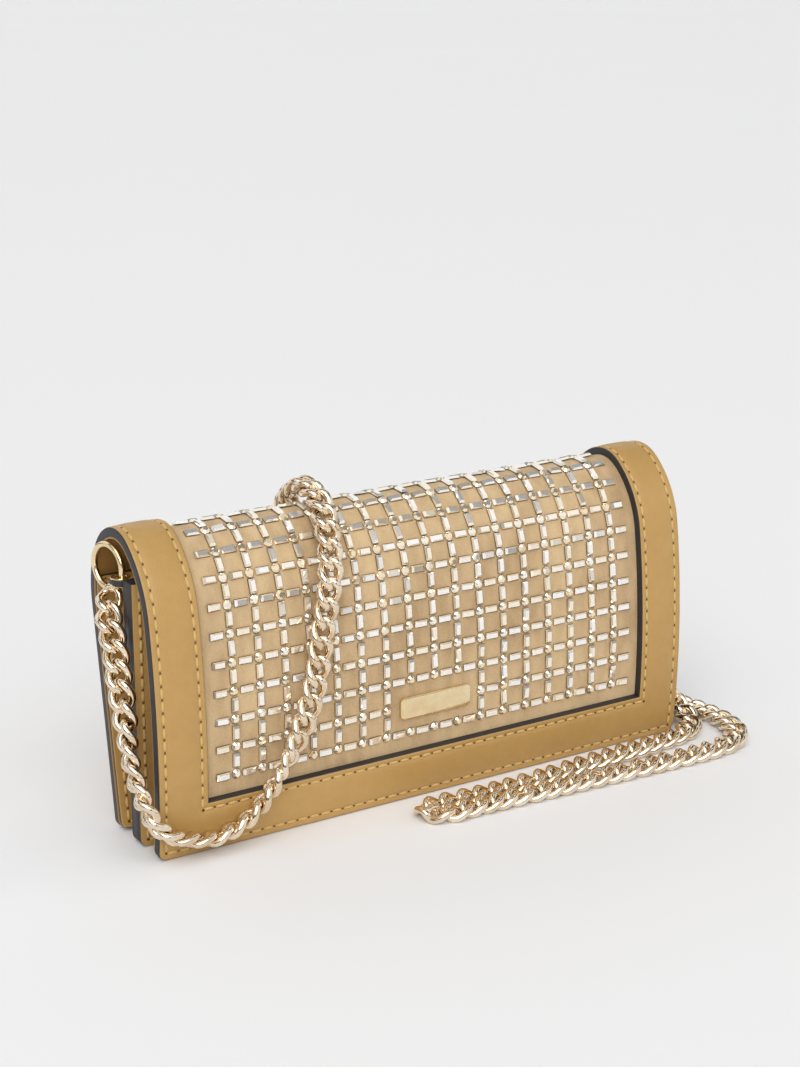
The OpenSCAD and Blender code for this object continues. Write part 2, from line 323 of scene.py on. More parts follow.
def stoneFinish(name, pale, warm, roughness, metallic):
    finish = Finish(name, metallic=metallic)
    tone = finish.node("ShaderNodeAttribute", {"attribute_name": "tone"}, output="Fac")
    finish.set("Base Color", finish.mix(tone, (*pale, 1), (*warm, 1)))
    finish.set("Roughness", roughness + 0.05 * finish.noise(700, 1))
    finish.set("Coat Weight", 0.6)
    finish.set("Coat Roughness", 0.03)
    return finish.material


def tapeFinish():
    finish = Finish("zip_tape", roughness=0.8)
    weave, cross = [finish.node("ShaderNodeTexWave", {"bands_direction": way},
                                {"Vector": finish.place, "Scale": 420.0}) for way in ("X", "Y")]
    finish.set("Base Color", finish.mix(weave * cross, (0.36, 0.22, 0.07, 1), (0.5, 0.33, 0.13, 1)))
    finish.bump(weave * 0.5 + cross * 0.5, 0.0001, 0.8)
    return finish.material


def floorFinish():
    finish = Finish("floor", roughness=0.9)
    finish.set("Base Color", finish.mix(finish.noise(3, 2), (0.9, 0.9, 0.905, 1), (0.91, 0.91, 0.915, 1)))
    return finish.material


print("finishes")
leather = leatherFinish("tan_leather", leatherLook["tan"], leatherLook["deep"])
lining = leatherFinish("lining_leather", (0.42, 0.235, 0.07), (0.33, 0.17, 0.045))
edgePaint = edgePaintFinish()
velvet = velvetFinish()
thread = threadFinish()
needleHoleShade = holeShadeFinish()
tape = tapeFinish()
chainMetal = metalFinish("chain_metal", (0.91, 0.79, 0.63), (0.76, 0.61, 0.43), 0.05)
gold = metalFinish("gold_metal", (0.93, 0.78, 0.50), (0.82, 0.62, 0.34), 0.13)
# metal cups under the stones, coloured dark brown as painted shade around each stone
cupMetalAndShade = metalFinish("cup_metal", (0.30, 0.19, 0.085), (0.17, 0.10, 0.04), 0.3)
crystal = stoneFinish("bar_crystal", (0.96, 0.95, 0.93), (0.95, 0.86, 0.7), 0.06, 0.65)
champagne = stoneFinish("round_crystal", (0.97, 0.92, 0.8), (0.92, 0.76, 0.52), 0.07, 0.75)


# Building helpers
def finishMesh(obj, name, sharp=35):
    obj.name = name
    obj.data.name = name
    obj.data.shade_smooth()
    obj.data.set_sharp_from_angle(angle=math.radians(sharp))
    return obj


def meshObject(name, verts, faces, materials, indices=None, sharp=35):
    mesh = bpy.data.meshes.new(name)
    mesh.from_pydata([tuple(v) for v in verts], [], faces)
    for material in materials:
        mesh.materials.append(material)
    if indices is not None:
        mesh.polygons.foreach_set("material_index", indices)
    mesh.validate()
    obj = bpy.data.objects.new(name, mesh)
    bpy.context.scene.collection.objects.link(obj)
    return finishMesh(obj, name, sharp)


def spaced(lo, hi, step, marks=()):      # lines from lo to hi, at most a step apart, with marks among them
    kept = sorted({round(v, 4) for v in (lo, hi, *marks) if lo <= v <= hi})
    lines = [kept[0]]
    for value in kept[1:]:
        gap = value - lines[-1]
        if gap < 0.04 and value != kept[-1]:
            continue
        count = max(1, math.ceil(gap / step - 1e-6))
        lines += [lines[-1] + gap * k / count for k in range(1, count)] + [value]
    return np.array(lines)


def slab(name, xs, ss, keep, top, bottom, materials, paint=None):
    # a closed sheet on the cover's outline: keep says which cells exist, top and bottom give depths
    columns, rows = len(xs), len(ss)
    kept = np.array([[keep((xs[i] + xs[i + 1]) / 2, (ss[j] + ss[j + 1]) / 2) for j in range(rows - 1)]
                     for i in range(columns - 1)])
    verts = []
    for depth in (top, bottom):
        for i in range(columns):
            for j in range(rows):
                verts.append(onSkin(*roundCorner(xs[i], ss[j]), depth(xs[i], ss[j])) * mm)
    layer = columns * rows
    faces, indices = [], []

    def wall(a, b):
        faces.append((a, b, b + layer, a + layer))
        indices.append(1 if len(materials) > 1 else 0)

    for i in range(columns - 1):
        for j in range(rows - 1):
            if not kept[i, j]:
                continue
            a, b, c, d = i * rows + j, (i + 1) * rows + j, (i + 1) * rows + j + 1, i * rows + j + 1
            painted = paint is not None and paint((xs[i] + xs[i + 1]) / 2, (ss[j] + ss[j + 1]) / 2)
            faces.append((a, b, c, d))
            faces.append((d + layer, c + layer, b + layer, a + layer))
            indices += [1 if painted else 0, 0]
            if j == 0 or not kept[i, j - 1]:
                wall(b, a)
            if j == rows - 2 or not kept[i, j + 1]:
                wall(d, c)
            if i == 0 or not kept[i - 1, j]:
                wall(a, d)
            if i == columns - 2 or not kept[i + 1, j]:
                wall(c, b)
    used = sorted({v for face in faces for v in face})
    number = {v: k for k, v in enumerate(used)}
    faces = [tuple(number[v] for v in face) for face in faces]
    return meshObject(name, [verts[v] for v in used], faces, materials, indices)


def tagPoints(name, places, ups, alongs, tones):
    mesh = bpy.data.meshes.new(name)
    mesh.from_pydata([tuple(p * mm) for p in places], [], [])
    for label, values in (("up", ups), ("along", alongs)):
        layer = mesh.attributes.new(label, "FLOAT_VECTOR", "POINT")
        layer.data.foreach_set("vector", np.array(values, dtype=float).ravel())
    mesh.attributes.new("tone", "FLOAT", "POINT").data.foreach_set("value", np.array(tones, dtype=float))
    obj = bpy.data.objects.new(name, mesh)
    bpy.context.scene.collection.objects.link(obj)
    return obj


def repeatTree(name, labels, shape):
    # a tree that puts one shape on every point, turned by the points' own directions
    group = bpy.data.node_groups.new(name, "GeometryNodeTree")
    group.interface.new_socket("Geometry", in_out="INPUT", socket_type="NodeSocketGeometry")
    group.interface.new_socket("Geometry", in_out="OUTPUT", socket_type="NodeSocketGeometry")
    for label in labels:
        group.interface.new_socket(label, in_out="INPUT", socket_type="NodeSocketFloat")
    group.interface.new_socket("Material", in_out="INPUT", socket_type="NodeSocketMaterial")
    tree = Tree(group)
    start = group.nodes.new("NodeGroupInput")
    inputs = {socket.name: Signal(tree, socket) for socket in start.outputs if socket.name}
    vectors = {"data_type": "FLOAT_VECTOR"}
    up = tree.node("GeometryNodeInputNamedAttribute", vectors, {"Name": "up"})
    ahead = tree.node("GeometryNodeInputNamedAttribute", vectors, {"Name": "along"})
    turn = tree.node("FunctionNodeAxesToRotation", {"primary_axis": "Z", "secondary_axis": "X"},
                     {"Primary Axis": up, "Secondary Axis": ahead})
    placed = tree.node("GeometryNodeInstanceOnPoints", inputs={
        "Points": inputs["Geometry"], "Instance": shape(tree, inputs), "Rotation": turn})
    real = tree.node("GeometryNodeRealizeInstances", inputs={"Geometry": placed})
    done = tree.node("GeometryNodeSetMaterial", inputs={"Geometry": real, "Material": inputs["Material"]})
    end = group.nodes.new("NodeGroupOutput")
    group.links.new(done.socket, end.inputs["Geometry"])
    return group


def grow(name, group, sizes, material, points, smooth=True):
    # runs a tree on tagged points and keeps the result as a plain mesh
    obj = tagPoints(name + "_points", *points)
    modifier = obj.modifiers.new(name, "NODES")
    modifier.node_group = group
    for item in group.interface.items_tree:
        if item.in_out == "INPUT" and item.name in sizes:
            modifier[item.identifier] = sizes[item.name] * mm
        if item.in_out == "INPUT" and item.name == "Material":
            modifier[item.identifier] = material
    graph = bpy.context.evaluated_depsgraph_get()
    mesh = bpy.data.meshes.new_from_object(obj.evaluated_get(graph))
    bpy.data.objects.remove(obj)
    made = bpy.data.objects.new(name, mesh)
    bpy.context.scene.collection.objects.link(made)
    return finishMesh(made, name, 40 if smooth else 1)


def moved(tree, mesh, scale=(1, 1, 1), turn=(0, 0, 0)):
    inputs = {"Geometry": mesh, "Rotation": turn, "Scale": scale}
    return tree.node("GeometryNodeTransform", inputs=inputs)


def vector(tree, x, y, z):
    return tree.node("ShaderNodeCombineXYZ", inputs={"X": x, "Y": y, "Z": z})


# Camera
camera = {"place": (-346.03, -543.6, 274.25), "yaw": 32.416, "pitch": 16.529, "lens": 70.08}


def makeCamera():
    data = bpy.data.cameras.new("camera")
    data.lens = camera["lens"]
    data.sensor_width = 36
    data.clip_end = 100
    obj = bpy.data.objects.new("camera", data)
    yaw, pitch = math.radians(camera["yaw"]), math.radians(camera["pitch"])
    ahead = Vector((math.sin(yaw) * math.cos(pitch), math.cos(yaw) * math.cos(pitch), -math.sin(pitch)))
    obj.rotation_euler = ahead.to_track_quat("-Z", "Y").to_euler()
    obj.location = Vector(camera["place"]) * mm
    bpy.context.scene.collection.objects.link(obj)
    bpy.context.scene.camera = obj


print("camera")
makeCamera()


# Chain: the frame's own route, closer to the leather because links are flatter than a tube
chain = {
    "pitch": 6.05, "length": 8.8, "width": 6.3, "wire": 2.45, "twist": -0.92, "around": 24, "across": 12,
    "lift": 3.0, "floor": 2.5, "cord": 7.2,
}
hang = {                                 # how the links turn as the chain hangs
    "facing": (-0.53, -0.85, 0), "turned": (-0.84, 0.46, -0.2), "turnFrom": 54, "turnOver": 22,
    "mostTurned": 0.7, "flatFrom": 12, "flatOver": 26, "leastFlat": 0.3, "flatX": -80, "edgeLift": 1.0,
}
routeLeft = [
    (-101.6, 4.4, 77.5), (-104.1, -0.2, 72.6), (-104.5, -3.8, 67), (-104.7, -6.3, 61.2), (-105, -8.4, 54.5),
    (-105, -10.3, 47.5), (-105, -11.5, 41), (-105, -12.8, 34.5), (-105, -15.5, 28.5), (-105, -19.5, 23.5),
    (-105, -24.5, 19.5)]
routeFront = [                           # x, and length along the cover's outer face
    (-101.5, 14), (-97, 10.2), (-91, 7.8), (-85, 6.5), (-79, 7), (-72, 10), (-66.5, 14.5), (-62, 20),
    (-58, 25.5), (-54.5, 31), (-51.5, 37), (-48.5, 44), (-46.5, 51), (-45, 58), (-43.5, 65), (-41.5, 72),
    (-39.6, 79), (-38.2, 84.8)]
routeTop1 = [(-36.5, 92.8), (-35.4, 98), (-34.4, 103.2)]
routeTop2 = [(-33.4, 111.2), (-33, 116)]
routeTop3 = [(-32.2, 124), (-31.6, 129), (-31, 134)]
routeDrop = [(-30.5, 142), (-30.3, 146), (-30.2, 150), (-30, 160), (-30, 175), (-30, 190), (-30, 203)]
floorZ = chain["floor"]
routeFloor = [
    (-31, 19.5, 9.5), (-34, 26, 4.6), (-42, 31, floorZ), (-54, 33, floorZ), (-63, 38, floorZ),
    (-63, 47, floorZ), (-54, 52, floorZ), (-38, 52, floorZ), (-18, 48, floorZ), (4, 42, floorZ),
    (26, 37, floorZ), (48, 33, floorZ), (70, 30, floorZ), (88, 25.5, floorZ), (104, 15, floorZ),
    (112.5, 0, floorZ), (116.5, -14, floorZ), (117, -27, floorZ), (113, -38.5, floorZ), (104, -44.5, floorZ),
    (90, -45.8, floorZ), (70, -45, floorZ), (49, -44, floorZ), (26, -42.8, floorZ), (4, -41.5, floorZ),
    (-7, -41.5, floorZ), (-13.5, -38.5, floorZ), (-12, -34.5, floorZ), (-4, -34, floorZ), (12, -35, floorZ),
    (32, -34.5, floorZ), (58, -32.4, floorZ), (81, -31, floorZ), (98, -28.5, floorZ), (106, -22, floorZ),
    (108.5, -13, 5), (108, -6, 10.5), (107, -2, 20), (106, 0.5, 34), (105, 2.5, 50), (104.8, 2.2, 62),
    (103, 4.2, 71.5), (100.9, 6.8, 77.6)]


def chainStations():                     # (stretch, place, the way a link's flat side faces)
    stations = []
    for p in routeLeft:
        turned = min(hang["mostTurned"], max(0.0, (hang["turnFrom"] - p[2]) / hang["turnOver"]))
        side = np.array(hang["facing"]) * (1 - turned) + np.array(hang["turned"]) * turned
        stations.append(("left", np.array(p, dtype=float), side))
    for k, (x, s) in enumerate(routeFront):          # on edge at the bottom of the loop, flat further up
        flat = hang["leastFlat"]
        if x > hang["flatX"]:
            flat = min(1.0, max(flat, (s - hang["flatFrom"]) / hang["flatOver"]))
        before, after = routeFront[max(k - 1, 0)], routeFront[min(k + 1, len(routeFront) - 1)]
        dx, ds = after[0] - before[0], after[1] - before[1]
        edge = (np.array([ds, 0, 0]) - uphill(s) * dx) / math.hypot(dx, ds)
        lift = chain["lift"] + hang["edgeLift"] * (1 - flat)
        stations.append(("front", onSkin(x, s, -lift), outward(s) * flat + edge * (1 - flat)))
    raised = (("top_1", routeTop1), ("top_2", routeTop2), ("top_3", routeTop3), ("back", routeDrop))
    for stretch, route in raised:
        for x, s in route:
            stations.append((stretch, onSkin(x, s, -chain["lift"]), outward(s)))
    for p in routeFloor:
        side = np.array([1.0, 0, 0]) if p[2] > 9 and p[0] > 0 else np.array([0, 0, 1.0])
        stations.append(("back", np.array(p, dtype=float), side))
    return stations


def smoothRoute(stations, pieces=24):    # Catmull-Rom through the stations
    places = np.array([p for _, p, _ in stations])
    sides = np.array([side for _, _, side in stations])
    ends = [2 * places[0] - places[1], 2 * places[-1] - places[-2]]
    padded = np.vstack([ends[0], places, ends[1]])
    points, faces, owners = [], [], []
    for i in range(len(places) - 1):
        a, b, c, d = padded[i:i + 4]
        for k in range(pieces):
            t = k / pieces
            points.append(0.5 * (2 * b + (c - a) * t + (2 * a - 5 * b + 4 * c - d) * t * t
                                 + (3 * b - a - 3 * c + d) * t ** 3))
            faces.append(sides[i] * (1 - t) + sides[i + 1] * t)
            owners.append(stations[i if t < 0.5 else i + 1][0])
    points.append(places[-1])
    faces.append(sides[-1])
    owners.append(stations[-1][0])
    return np.array(points), np.array(faces), owners


def linkShape(tree, inputs):             # an oval of wire, twisted so that neighbours lie in each other
    circle = "GeometryNodeCurvePrimitiveCircle"
    ring = tree.node(circle, inputs={"Resolution": chain["around"], "Radius": 1.0})
    place = tree.node("GeometryNodeInputPosition")
    split = [tree.node("ShaderNodeSeparateXYZ", inputs={"Vector": place}, output=k) for k in (0, 1)]
    angle = split[0] * chain["twist"]
    reach = split[1] * inputs["Width"] * 0.5
    cosine = tree.node("ShaderNodeMath", {"operation": "COSINE"}, {0: angle})
    sine = tree.node("ShaderNodeMath", {"operation": "SINE"}, {0: angle})
    bent = vector(tree, split[0] * inputs["Length"] * 0.5, reach * cosine, reach * sine)
    oval = tree.node("GeometryNodeSetPosition", inputs={"Geometry": ring, "Position": bent})
    wire = tree.node(circle, inputs={"Resolution": chain["across"], "Radius": inputs["Wire"] * 0.5})
    return tree.node("GeometryNodeCurveToMesh", inputs={"Curve": oval, "Profile Curve": wire})


def makeChain():
    stations = chainStations()
    points, faces, owners = smoothRoute(stations)
    lengths = np.concatenate([[0], np.cumsum(np.linalg.norm(np.diff(points, axis=0), axis=1))])
    count = round(lengths[-1] / chain["pitch"])
    size = {"Length": chain["length"], "Width": chain["width"], "Wire": chain["wire"]}
    group = repeatTree("chain_link", size, linkShape)
    groups, spans = {}, {}
    for k in range(count + 1):
        at = k * lengths[-1] / count
        i = min(int(np.searchsorted(lengths, at)), len(points) - 2)
        ahead = points[min(i + 3, len(points) - 1)] - points[max(i - 3, 0)]
        ahead /= np.linalg.norm(ahead)
        side = faces[i] - ahead * np.dot(faces[i], ahead)
        groups.setdefault(owners[i], []).append((points[i], side / np.linalg.norm(side), ahead, 0))
        spans.setdefault(owners[i], []).append(at)
    made = {}
    for stretch, rows in groups.items():
        made[stretch] = grow("chain_links_" + stretch, group, size, chainMetal, list(zip(*rows)))
    return made, spans, points * mm, lengths


print("chain")
links, linkSpans, routePoints, routeLengths = makeChain()


def ownPath(stretch):                    # the route under one stretch's links, in metres
    reach = chain["length"] / 2 - 0.5
    first, last = linkSpans[stretch][0] - reach, linkSpans[stretch][-1] + reach
    return routePoints[(routeLengths > first) & (routeLengths < last)]


chainBodies = {"left": "body", "front": "flap", "top_1": "spine_1", "top_2": "spine_2", "top_3": "spine_3",
               "back": "body"}
for stretch, piece in links.items():
    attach(piece, chainBodies[stretch])
    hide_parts("chain_" + stretch)


def declareCord(stretch):
    path = ownPath(stretch)
    tuple(path[0])
    [tuple(p) for p in path[::4]]


declareCord("left")
declareCord("front")
declareCord("back")

# Leather of the cover
seams = {"outer": 2.5, "inner": 2.1, "pitch": 4.15, "length": 3.4, "width": 1.15, "height": 0.9,
         "hole": 1.0, "holeDepth": 0.35, "groove": 0.35, "grooveWidth": 0.6, "sunk": -0.05}


def edgeDistances(x, s):                 # how far a point of the leather is from its outer and window edges
    outer = min(cover["halfWidth"] - abs(x), s, skinEnd - s)
    dx = abs(x) - cover["windowX"]
    ds = max(cover["windowLow"] - s, s - cover["windowHigh"])
    if dx > 0 and ds > 0:
        return outer, math.hypot(dx, ds)
    return outer, max(dx, ds)


def leatherDepth(x, s):
    outer, inner = edgeDistances(x, s)
    depth = 0.0
    r = cover["edgeRound"]
    for distance, line in ((outer, seams["outer"]), (inner, seams["inner"])):
        near = max(0.0, distance)
        if near < r:
            depth += r - math.sqrt(max(0.0, r * r - (r - near) ** 2))
        depth += seams["groove"] * math.exp(-((near - line) / seams["grooveWidth"]) ** 2)
    swell = min(max(min(outer - seams["outer"], inner - seams["inner"]) / 4, 0), 1)
    return depth - cover["puff"] * swell * (2 - swell)


edgeOffsets = (0, 0.08, 0.25, 0.7)
seamOffsets = (-0.9, -0.45, 0, 0.45, 0.9)


def nearEdge(edge, direction, line):
    offsets = list(edgeOffsets) + [line + d for d in seamOffsets] + [line + 2, line + 4]
    return [edge + direction * d for d in offsets]


def leatherLines():
    half, windowX = cover["halfWidth"], cover["windowX"]
    marksX = []
    for side in (-1, 1):
        marksX += nearEdge(side * half, -side, seams["outer"])
        marksX += nearEdge(side * windowX, side, seams["inner"])
    marksS = nearEdge(0, 1, seams["outer"]) + nearEdge(skinEnd, -1, seams["outer"])
    marksS += nearEdge(cover["windowLow"], -1, seams["inner"])
    marksS += nearEdge(cover["windowHigh"], 1, seams["inner"])
    return spaced(-half, half, 6, marksX), marksS


def inWindow(x, s):
    return abs(x) < cover["windowX"] and cover["windowLow"] < s < cover["windowHigh"]


def stripStep(strip):
    return cover["stepBend"] if "bend" in strip[0] else cover["stepFlat"]


def makeLeather():
    xs, marks = leatherLines()
    for strip in strips:
        name, first, last, bodies = strip
        ss = spaced(first, last, stripStep(strip), marks)
        piece = slab("leather_" + name, xs, ss, lambda x, s: not inWindow(x, s), leatherDepth,
                     lambda x, s: cover["leather"], [leather, edgePaint],
                     paint=lambda x, s: min(abs(e) for e in edgeDistances(x, s)) < 0.25)
        follow(piece, strip)
        if name in frameStrips:
            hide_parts(frameStrips[name] + "_leather")


def makeLayer(kind, material, depths, halfWidth, low, high):
    for strip in strips:
        name, first, last, bodies = strip
        if first >= high:
            continue
        ss = spaced(max(first, low), min(last, high), stripStep(strip))
        xs = spaced(-halfWidth, halfWidth, 12)
        piece = slab(kind + "_" + name, xs, ss, lambda x, s: True, lambda x, s: depths[0],
                     lambda x, s: depths[1], [material])
        follow(piece, strip)
        endsHere = kind == "velvet" and name == "bend_4"         # the velvet stops short of the back
        part = "back" if endsHere else frameStrips.get(name)
        if part:
            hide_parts(part + "_" + kind)


print("cover")
makeLeather()
makeLayer("lining", lining, cover["lining"], cover["halfWidth"] - 0.1, 0, skinEnd)
makeLayer("velvet", velvet, cover["velvet"], cover["windowX"] - cover["velvetGap"],
          cover["windowLow"] + cover["velvetGap"], cover["windowHigh"] - cover["velvetGap"])


# Stitching: each stitch is a short flattened grain of thread with a needle hole between it and the next;
# each hole is a small disc coloured dark brown as painted shade
def stitchShape(tree, inputs):
    grain = tree.node("GeometryNodeMeshUVSphere", inputs={"Segments": 8, "Rings": 6, "Radius": 0.5})
    scale = vector(tree, inputs["Length"], inputs["Width"], inputs["Height"])
    return moved(tree, grain, scale=scale)


def holeShape(tree, inputs):
    disc = tree.node("GeometryNodeMeshUVSphere", inputs={"Segments": 8, "Rings": 4, "Radius": 0.5})
    scale = vector(tree, inputs["Width"], inputs["Width"], inputs["Height"])
    return moved(tree, disc, scale=scale)


stitchTree = repeatTree("stitch", ("Length", "Width", "Height"), stitchShape)
holeTree = repeatTree("needle_hole", ("Width", "Height"), holeShape)


def stitchRow(start, end, seat):         # stitches and holes on a line; seat turns a place into a point
    start, end = np.array(start, dtype=float), np.array(end, dtype=float)
    count = max(1, round(np.linalg.norm(end - start) / seams["pitch"]))
    middles = [start + (end - start) * (k + 0.5) / count for k in range(count)]
    joins = [start + (end - start) * k / count for k in range(count + 1)]
    return [seat(p, end - start) for p in middles], [seat(p, end - start) for p in joins]


def coverSeat(place, heading):
    x, s = place
    ahead = heading[0] * np.array([1.0, 0, 0]) + heading[1] * uphill(s)
    point = onSkin(x, s, leatherDepth(x, s) + seams["sunk"])
    return s, (point, outward(s), ahead / np.linalg.norm(ahead), 0)


def sew(name, stitches, holes, bodyTie):
    threadSize = {"Length": seams["length"], "Width": seams["width"], "Height": seams["height"]}
    holeSize = {"Width": seams["hole"], "Height": seams["holeDepth"]}
    rows = grow("stitches_" + name, stitchTree, threadSize, thread, list(zip(*stitches)))
    dots = grow("needle_holes_" + name, holeTree, holeSize, needleHoleShade, list(zip(*holes)))
    for piece in (rows, dots):
        bodyTie(piece)


def stitchRows(rows):                    # rows of (start, end, seat)
    stitches, holes = [], []
    for start, end, seat in rows:
        more = stitchRow(start, end, seat)
        stitches += more[0]
        holes += more[1]
    return stitches, holes


def sewInner(name, rows):                # rows on the pieces that stay with the body
    stitches, holes = [[item for _, item in group] for group in stitchRows(rows)]
    sew(name, stitches, holes, lambda piece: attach(piece, "body"))


def sewCover():
    outerX = cover["halfWidth"] - seams["outer"]
    innerX = cover["windowX"] + seams["inner"]
    low, high = seams["outer"], skinEnd - seams["outer"]
    windowLow, windowHigh = cover["windowLow"] - seams["inner"], cover["windowHigh"] + seams["inner"]
    lines = [((-outerX, low), (outerX, low)), ((-outerX, high), (outerX, high))]
    lines += [((-innerX, windowLow), (innerX, windowLow)), ((-innerX, windowHigh), (innerX, windowHigh))]
    for side in (-1, 1):
        lines += [((side * outerX, low), (side * outerX, high))]
        lines += [((side * innerX, windowLow), (side * innerX, windowHigh))]
    stitches, holes = stitchRows([(start, end, coverSeat) for start, end in lines])
    for strip in strips:
        name, first, last, bodies = strip
        own = [[item for s, item in group if first <= s < last] for group in (stitches, holes)]
        sew(name, own[0], own[1], lambda piece: follow(piece, strip))


print("stitching")
sewCover()

# Crystals on the velvet: round ones at the crossings, bars between them
grid = {
    "columns": 17, "pitchX": 9.06, "firstRow": 22.7, "pitchS": 9.04, "rows": 14,
    "round": 3.1, "barLength": 4.6, "barWidth": 2.15, "height": 0.75, "cup": 0.32, "cupHeight": 0.4,
    "seed": 4, "tilt": 0.05, "plateRow": 1, "plateColumns": (7, 8, 9),
}


def roundShape(tree, inputs):
    cone = tree.node("GeometryNodeMeshCone", inputs={
        "Vertices": 10, "Radius Top": 0.27, "Radius Bottom": 0.5, "Depth": 1.0})
    return moved(tree, cone, scale=vector(tree, inputs["Width"], inputs["Width"], inputs["Height"]))


def barShape(tree, inputs):              # four sides, narrower at the top
    cone = tree.node("GeometryNodeMeshCone", inputs={
        "Vertices": 4, "Radius Top": 0.5, "Radius Bottom": 0.707, "Depth": 1.0})
    squared = moved(tree, cone, turn=(0, 0, math.pi / 4))
    return moved(tree, squared, scale=vector(tree, inputs["Length"], inputs["Width"], inputs["Height"]))


def gridPlaces():                        # ("round" or "bar", x, s, along x or along s)
    places = []
    middleColumn = (grid["columns"] - 1) / 2
    plateColumns = grid["plateColumns"]
    for row in range(grid["rows"]):
        s = grid["firstRow"] + row * grid["pitchS"]
        for column in range(grid["columns"]):
            x = (column - middleColumn) * grid["pitchX"]
            inPlate = row == grid["plateRow"] and column in plateColumns
            if not inPlate:
                places.append(("round", x, s, "x"))
            leftClear = row == grid["plateRow"] and column in (*plateColumns, plateColumns[-1] + 1)
            if column and not leftClear:
                places.append(("bar", x - grid["pitchX"] / 2, s, "x"))
            aboveClear = column in plateColumns and row in (grid["plateRow"] - 1, grid["plateRow"])
            if row < grid["rows"] - 1 and not aboveClear:
                places.append(("bar", x, s + grid["pitchS"] / 2, "s"))
        for side in (-1, 1):
            places.append(("bar", side * (middleColumn + 0.5) * grid["pitchX"], s, "x"))
    return places


def makeStones():
    dice = np.random.default_rng(grid["seed"])
    sizes = {
        "round": {"Width": grid["round"], "Height": grid["height"]},
        "bar": {"Length": grid["barLength"], "Width": grid["barWidth"], "Height": grid["height"]}}
    trees = {"round": repeatTree("round_stone", sizes["round"], roundShape),
             "bar": repeatTree("bar_stone", sizes["bar"], barShape)}
    stones = {"round": champagne, "bar": crystal}
    seat = cover["velvet"][0]
    rows = []
    for kind, x, s, way in gridPlaces():
        ahead = np.array([1.0, 0, 0]) if way == "x" else uphill(s)
        tilt = outward(s) + dice.normal(0, grid["tilt"], 3)
        rows.append((kind, s, onSkin(x, s, seat), tilt / np.linalg.norm(tilt), ahead, dice.random()))
    for strip in strips:
        name, first, last, bodies = strip
        for kind in ("round", "bar"):
            own = [row for row in rows if row[0] == kind and first <= row[1] < last]
            if not own:
                continue
            lifted = [(p + up * grid["height"] / 2, up, ahead, tone) for _, _, p, up, ahead, tone in own]
            low = [(p + up * grid["cupHeight"] / 2, up, ahead, 0) for _, _, p, up, ahead, tone in own]
            stone = grow(kind + "_stones_" + name, trees[kind], sizes[kind], stones[kind],
                         list(zip(*lifted)), smooth=False)
            cupSize = {key: value + grid["cup"] for key, value in sizes[kind].items()}
            cupSize["Height"] = grid["cupHeight"]
            # a dark cup under each stone: metal setting and painted shade around it
            cup = grow(kind + "_cups_" + name, trees[kind], cupSize, cupMetalAndShade,
                       list(zip(*low)), smooth=False)
            for piece, slotName in ((stone, "stone"), (cup, "gold_metal")):
                follow(piece, strip)


print("stones")
makeStones()


# Flat pieces cut from sheet: a closed outline, pushed to its thickness, with rounded edges
def roundedBox(x0, y0, x1, y1, corners, steps=5):
    # corners: radii at low left, low right, high right, high left
    points = []
    spots = [(x0, y0, 1, 1, 180), (x1, y0, -1, 1, 270), (x1, y1, -1, -1, 0), (x0, y1, 1, -1, 90)]
    for (x, y, dx, dy, turn), r in zip(spots, corners):
        if r == 0:
            points.append((x, y))
            continue
        for k in range(steps + 1):
            a = math.radians(turn + 90 * k / steps)
            points.append((x + dx * r + r * math.cos(a), y + dy * r + r * math.sin(a)))
    return points


def circleLine(x, y, r, count=24):
    return [(x + r * math.cos(2 * math.pi * k / count), y + r * math.sin(2 * math.pi * k / count))
            for k in range(count)]


def cutPlate(name, outlines, thick, bevel, materials, place):
    # place turns a point of the flat piece (x, y, height) into the wallet's own place
    curve = bpy.data.curves.new(name, "CURVE")
    curve.dimensions = "2D"
    curve.fill_mode = "BOTH"
    for outline in outlines:
        spline = curve.splines.new("POLY")
        spline.points.add(len(outline) - 1)
        for point, (x, y) in zip(spline.points, outline):
            point.co = (x, y, 0, 1)
        spline.use_cyclic_u = True
    curve.extrude = thick / 2 - bevel
    curve.bevel_depth = bevel
    curve.offset = -bevel
    curve.bevel_resolution = 1
    flat = bpy.data.objects.new(name + "_flat", curve)
    bpy.context.scene.collection.objects.link(flat)
    graph = bpy.context.evaluated_depsgraph_get()
    mesh = bpy.data.meshes.new_from_object(flat.evaluated_get(graph))
    bpy.data.objects.remove(flat)
    solid = bmesh.new()
    solid.from_mesh(mesh)
    bmesh.ops.remove_doubles(solid, verts=solid.verts, dist=0.001)
    for face in solid.faces:
        face.normal_update()
        face.material_index = 0 if abs(face.normal.z) > 0.9 or len(materials) == 1 else 1
    for vert in solid.verts:
        vert.co = Vector(place(*vert.co)) * mm
    bmesh.ops.recalc_face_normals(solid, faces=solid.faces)
    solid.to_mesh(mesh)
    solid.free()
    for material in materials:
        mesh.materials.append(material)
    obj = bpy.data.objects.new(name, mesh)
    bpy.context.scene.collection.objects.link(obj)
    return finishMesh(obj, name, 30)


def upright(y):                          # stands a flat piece up, facing forwards, centred on y
    return lambda x, up, height: (x, y - height, up)


def lying(z):
    return lambda x, y, height: (x, y, z + height)


block = {
    "y": -7.9, "thick": 6.2, "height": 85, "panel": 1.2, "corner": 3, "rim": 7,
    "bevel": 0.3, "coreBevel": 0.15,
}


def panelSeat(y, facing):
    def seat(place, heading):
        ahead = np.array([heading[0], 0, heading[1]])
        point = np.array([place[0], y - facing * seams["sunk"], place[1]])
        return 0, (point, np.array([0, facing, 0]), ahead / np.linalg.norm(ahead), 0)
    return seat


